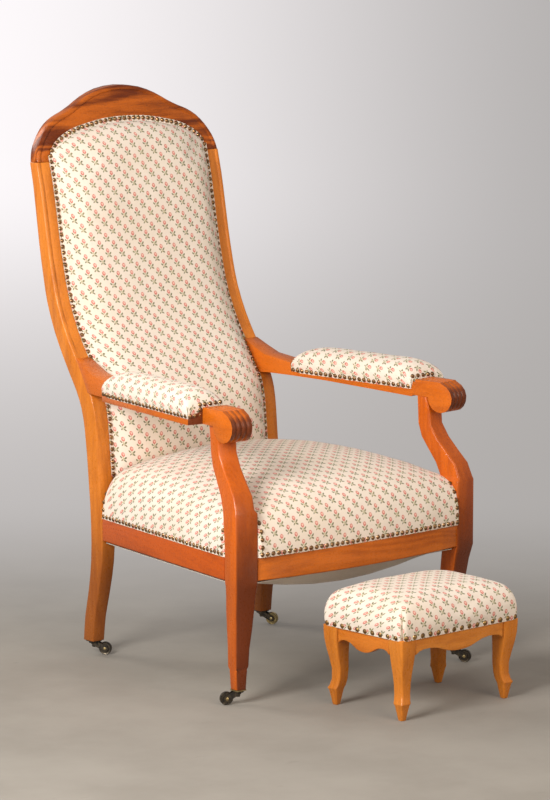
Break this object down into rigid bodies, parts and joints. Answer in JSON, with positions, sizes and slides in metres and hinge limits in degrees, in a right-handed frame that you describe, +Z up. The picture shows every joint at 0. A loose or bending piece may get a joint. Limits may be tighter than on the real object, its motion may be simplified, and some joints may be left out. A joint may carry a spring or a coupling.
{
  "type": "upholstered armchair on castors with footstool",
  "caption": "Tall-backed wooden armchair with scrolled arms and sprung, nailed upholstery, on swivel castors, with a matching cabriole-legged footstool",
  "frame": {"origin": "the middle of the group's footprint, on the floor", "axes": "+Z up; the chair faces -Y with its footstool in front; +X is the sitter's left, the viewer's right seen from the front"},
  "size_m": [0.6568, 1.054, 1.12],
  "materials": {
    "frame_wood": "warm orange fruitwood with a satin polish",
    "crest_wood": "darker figured wood with a satin polish",
    "sprig_fabric": "off-white woven cloth with small rosebud sprigs",
    "hessian": "plain beige-grey cloth and webbing",
    "spring_steel": "drawn spring wire",
    "castor_metal": "dark bronzed metal, worn",
    "castor_brass": "dull aged brass"
  },
  "bodies": {
    "chair": {"back_stile_left": "frame_wood", "back_stile_right": "frame_wood", "crest_rail": "crest_wood", "back_lower_rail": "frame_wood", "back_seat_rail": "frame_wood", "side_rail_left": "frame_wood", "side_rail_right": "frame_wood", "front_rail": "frame_wood", "front_leg_left": "frame_wood", "front_leg_right": "frame_wood", "arm_left": "frame_wood", "arm_right": "frame_wood", "corner_block_front_left": "frame_wood", "corner_block_front_right": "frame_wood", "corner_block_back_left": "frame_wood", "corner_block_back_right": "frame_wood", "arm_pad_left": "sprig_fabric", "arm_pad_right": "sprig_fabric", "back_cushion": "sprig_fabric", "back_cover_panel": "sprig_fabric", "seat_cushion": "sprig_fabric", "seat_webbing": "hessian", "dust_cover": "hessian", "seat_spring_front_left": "spring_steel", "seat_spring_front_right": "spring_steel", "seat_spring_back_left": "spring_steel", "seat_spring_back_right": "spring_steel", "seat_spring_middle": "spring_steel", "castor_plate_front_left": "castor_metal", "castor_plate_front_right": "castor_metal", "castor_plate_back_left": "castor_metal", "castor_plate_back_right": "castor_metal"},
    "swivel_front_left": {"castor_fork_front_left": "castor_metal", "castor_axle_front_left": "castor_brass"},
    "swivel_front_right": {"castor_fork_front_right": "castor_metal", "castor_axle_front_right": "castor_brass"},
    "swivel_back_left": {"castor_fork_back_left": "castor_metal", "castor_axle_back_left": "castor_brass"},
    "swivel_back_right": {"castor_fork_back_right": "castor_metal", "castor_axle_back_right": "castor_brass"},
    "wheel_front_left": {"castor_wheel_front_left": "castor_brass"},
    "wheel_front_right": {"castor_wheel_front_right": "castor_brass"},
    "wheel_back_left": {"castor_wheel_back_left": "castor_brass"},
    "wheel_back_right": {"castor_wheel_back_right": "castor_brass"},
    "footstool": {"stool_leg_front_left": "frame_wood", "stool_leg_front_right": "frame_wood", "stool_leg_back_left": "frame_wood", "stool_leg_back_right": "frame_wood", "stool_apron_front": "frame_wood", "stool_apron_right": "frame_wood", "stool_apron_back": "frame_wood", "stool_apron_left": "frame_wood", "stool_deck": "frame_wood", "stool_cushion": "sprig_fabric"}
  },
  "joints": [
    {"name": "front_left_swivel", "type": "hinge", "parent": "chair", "child": "swivel_front_left", "pos_m": [-0.2797, -0.20278, 0.0255], "axis": [0, 0, 1], "continuous": true},
    {"name": "front_right_swivel", "type": "hinge", "parent": "chair", "child": "swivel_front_right", "pos_m": [0.2797, -0.20278, 0.0255], "axis": [0, 0, 1], "continuous": true},
    {"name": "back_left_swivel", "type": "hinge", "parent": "chair", "child": "swivel_back_left", "pos_m": [-0.22075, 0.31669, 0.0255], "axis": [0, 0, 1], "continuous": true},
    {"name": "back_right_swivel", "type": "hinge", "parent": "chair", "child": "swivel_back_right", "pos_m": [0.22075, 0.31669, 0.0255], "axis": [0, 0, 1], "continuous": true},
    {"name": "front_left_roll", "type": "hinge", "parent": "swivel_front_left", "child": "wheel_front_left", "pos_m": [-0.301, -0.19285, 0.0129], "axis": [-0.4226, -0.9063, 0], "continuous": true},
    {"name": "front_right_roll", "type": "hinge", "parent": "swivel_front_right", "child": "wheel_front_right", "pos_m": [0.29318, -0.22203, 0.0129], "axis": [0.8191, 0.5736, 0], "continuous": true},
    {"name": "back_left_roll", "type": "hinge", "parent": "swivel_back_left", "child": "wheel_back_left", "pos_m": [-0.20564, 0.29868, 0.0129], "axis": [0.766, 0.6428, 0], "continuous": true},
    {"name": "back_right_roll", "type": "hinge", "parent": "swivel_back_right", "child": "wheel_back_right", "pos_m": [0.2325, 0.29633, 0.0129], "axis": [0.866, 0.5, 0], "continuous": true},
    {"name": "footstool_slide", "type": "slide", "parent": "chair", "child": "footstool", "axis": [0, -1, 0], "range_m": [0, 0.4]}
  ]
}
